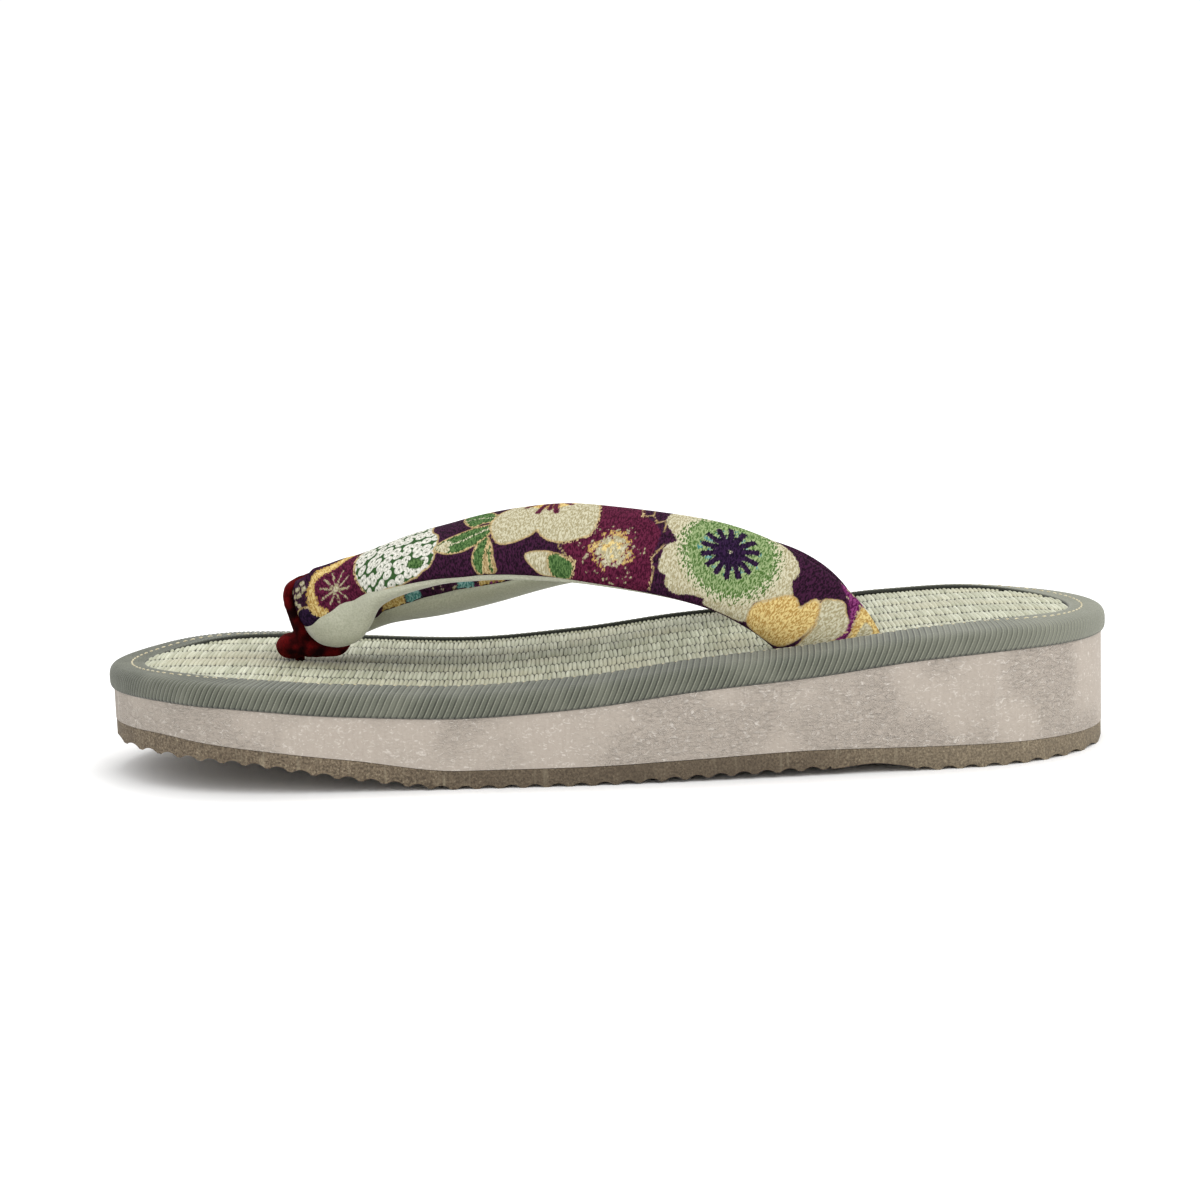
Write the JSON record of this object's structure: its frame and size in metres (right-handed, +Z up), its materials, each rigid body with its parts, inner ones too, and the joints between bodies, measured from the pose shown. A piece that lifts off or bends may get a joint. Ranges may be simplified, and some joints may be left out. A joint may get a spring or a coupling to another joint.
{
  "type": "zori sandal",
  "caption": "Flat-soled thong sandal: foam wedge on a rippled tread, woven footbed with a braided edge, padded print strap and toe loop.",
  "frame": {"origin": "on the floor under the middle of the sole's bounding box", "axes": "+X from the toe to the heel, -Y to the side the picture shows, +Z up"},
  "size_m": [0.23, 0.0862, 0.0577],
  "materials": {
    "outsole": "matte brown foam rubber, rippled underside",
    "midsole": "matte cream foam with a fine wrinkled skin",
    "footbed": "woven straw, low sheen",
    "binding": "ribbed sage-green braid",
    "strap": "crepe floral print over flannel lining",
    "toe_loop": "dark red velvet"
  },
  "bodies": {
    "root": {"outsole": "outsole", "midsole": "midsole", "footbed": "footbed", "binding": "binding", "strap": "strap", "toe_loop": "toe_loop"}
  },
  "joints": []
}
